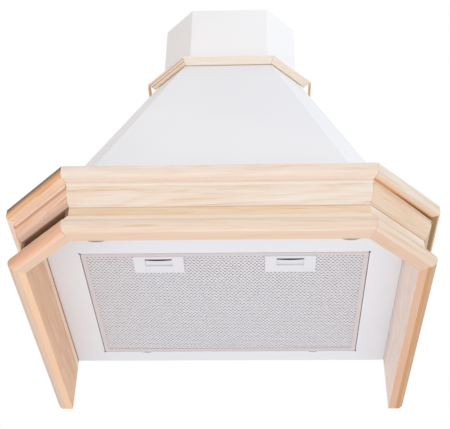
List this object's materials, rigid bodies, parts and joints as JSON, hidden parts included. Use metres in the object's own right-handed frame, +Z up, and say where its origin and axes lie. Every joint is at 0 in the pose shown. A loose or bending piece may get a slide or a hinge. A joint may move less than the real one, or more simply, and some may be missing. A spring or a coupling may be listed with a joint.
{
  "type": "range hood",
  "caption": "Wall range hood with a mitred wooden frame, a white cut-corner canopy, a short chimney and a drop-down grease filter.",
  "frame": {"origin": "on the wall plane, at the centre of the four wall holes in the back plate, on the middle line of the hood", "axes": "+X to the right seen from the front, +Y into the wall, +Z up; the front of the hood faces -Y"},
  "size_m": [0.635, 0.5457, 0.7516],
  "materials": {
    "wood": "planed and sanded, unfinished",
    "white_enamel": "smooth semi-gloss white",
    "galvanised": "galvanised sheet",
    "lamp_ring": "polished",
    "lamp_glass": "frosted",
    "filter_frame": "satin",
    "filter_sheet": "satin, perforated",
    "filter_mesh": "expanded mesh",
    "white_plastic": "fine satin",
    "spring_steel": "drawn",
    "brown_plastic": "satin",
    "brown_buttons": "satin",
    "grey_plastic": "moulded",
    "black_plastic": "moulded",
    "motor_paint": "cast shell, dark grey",
    "zinc_screws": "zinc plated"
  },
  "bodies": {
    "hood_body": {"cornice_front": "wood", "cornice_left": "wood", "cornice_right": "wood", "cornice_return_left": "wood", "cornice_return_right": "wood", "crown_moulding_front": "wood", "crown_moulding_left": "wood", "crown_moulding_right": "wood", "rail_front": "wood", "rail_left": "wood", "rail_right": "wood", "base_moulding_front": "wood", "base_moulding_left": "wood", "base_moulding_right": "wood", "side_board_left": "wood", "side_board_right": "wood", "crown_return_left": "wood", "crown_return_right": "wood", "base_return_left": "wood", "base_return_right": "wood", "chimney_trim_front": "wood", "chimney_trim_left": "wood", "chimney_trim_right": "wood", "trim_returns": "wood", "corner_blocks": "wood", "chimney_cover": "white_enamel", "canopy_shell": "white_enamel", "underside_panel": "white_enamel", "back_plate": "galvanised", "chimney_bracket": "galvanised", "blower_bracket": "galvanised", "motor_bracket": "galvanised", "lamp_housings": "lamp_ring", "lamp_lenses": "lamp_glass", "control_housing": "brown_plastic", "volute_left": "grey_plastic", "volute_right": "grey_plastic", "motor": "motor_paint", "outlet_collar": "grey_plastic", "flap_pins": "spring_steel", "terminal_box": "black_plastic", "screws": "zinc_screws"},
    "grease_filter": {"filter_frame": "filter_frame", "filter_face_sheet": "filter_sheet", "filter_mesh_pack": "filter_mesh", "filter_back_grille": "filter_mesh", "latch_plate_left": "white_plastic", "latch_plate_right": "white_plastic"},
    "latch_left": {"latch_slider_left": "white_plastic", "latch_spring_left": "spring_steel"},
    "latch_right": {"latch_slider_right": "white_plastic", "latch_spring_right": "spring_steel"},
    "fan_rotor": {"impeller": "black_plastic", "motor_shaft": "spring_steel"},
    "front_flap": {"flap_front": "black_plastic"},
    "rear_flap": {"flap_rear": "black_plastic"},
    "light_button": {"button_light": "brown_buttons"},
    "speed_1_button": {"button_speed_1": "brown_buttons"},
    "speed_2_button": {"button_speed_2": "brown_buttons"},
    "speed_3_button": {"button_speed_3": "brown_buttons"}
  },
  "joints": [
    {"name": "filter_hinge", "type": "hinge", "parent": "hood_body", "child": "grease_filter", "pos_m": [0, -0.0305, -0.18745], "axis": [1, 0, 0], "range_deg": [0, 80]},
    {"name": "latch_left_slide", "type": "slide", "parent": "grease_filter", "child": "latch_left", "axis": [0, 1, 0], "range_m": [0, 0.006], "stiffness_N_per_m": 150, "springref_m": -0.006},
    {"name": "latch_right_slide", "type": "slide", "parent": "grease_filter", "child": "latch_right", "axis": [0, 1, 0], "range_m": [0, 0.006], "stiffness_N_per_m": 150, "springref_m": -0.006},
    {"name": "fan_spin", "type": "hinge", "parent": "hood_body", "child": "fan_rotor", "pos_m": [0, -0.165, -0.025], "axis": [1, 0, 0], "continuous": true},
    {"name": "front_flap_swing", "type": "hinge", "parent": "hood_body", "child": "front_flap", "pos_m": [0, -0.11525, 0.145], "axis": [-1, 0, 0], "range_deg": [0, 75]},
    {"name": "rear_flap_swing", "type": "hinge", "parent": "hood_body", "child": "rear_flap", "pos_m": [0, -0.10725, 0.145], "axis": [1, 0, 0], "range_deg": [0, 75]},
    {"name": "light_press", "type": "slide", "parent": "hood_body", "child": "light_button", "axis": [0.7071, 0.7071, 0], "range_m": [0, 0.0025], "stiffness_N_per_m": 300, "springref_m": -0.003},
    {"name": "speed_1_press", "type": "slide", "parent": "hood_body", "child": "speed_1_button", "axis": [0.7071, 0.7071, 0], "range_m": [0, 0.0025], "stiffness_N_per_m": 300, "springref_m": -0.003},
    {"name": "speed_2_press", "type": "slide", "parent": "hood_body", "child": "speed_2_button", "axis": [0.7071, 0.7071, 0], "range_m": [0, 0.0025], "stiffness_N_per_m": 300, "springref_m": -0.003},
    {"name": "speed_3_press", "type": "slide", "parent": "hood_body", "child": "speed_3_button", "axis": [0.7071, 0.7071, 0], "range_m": [0, 0.0025], "stiffness_N_per_m": 300, "springref_m": -0.003}
  ]
}
